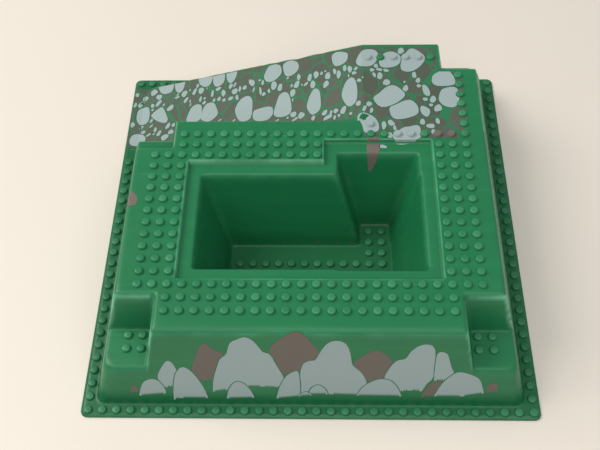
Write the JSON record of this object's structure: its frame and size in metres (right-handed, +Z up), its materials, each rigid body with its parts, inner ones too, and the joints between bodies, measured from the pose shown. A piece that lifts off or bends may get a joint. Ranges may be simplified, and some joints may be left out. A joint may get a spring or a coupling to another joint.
{
  "type": "raised studded baseplate",
  "caption": "Green raised building baseplate: a hill with studded deck, deep stepped pit, corner pads and a stone-printed ramp.",
  "frame": {"origin": "centre of the flat underside", "axes": "+X right along the front rim, +Y from the front rim to the back rim, +Z up"},
  "size_m": [0.256, 0.256, 0.0607],
  "materials": {
    "green_sheet": "glossy vacuum-formed styrene, slightly stretched and waved",
    "light_ink": "satin screen ink, pale blue-grey",
    "dark_ink": "satin screen ink, dark brown-grey"
  },
  "bodies": {
    "root": {"formed_sheet": "green_sheet", "path_stones_light": "light_ink", "path_cobbles_light": "light_ink", "path_stones_dark": "dark_ink", "stud_caps_light": "light_ink", "stud_caps_dark": "dark_ink", "wall_boulders_light": "light_ink", "wall_boulders_dark": "dark_ink"}
  },
  "joints": []
}
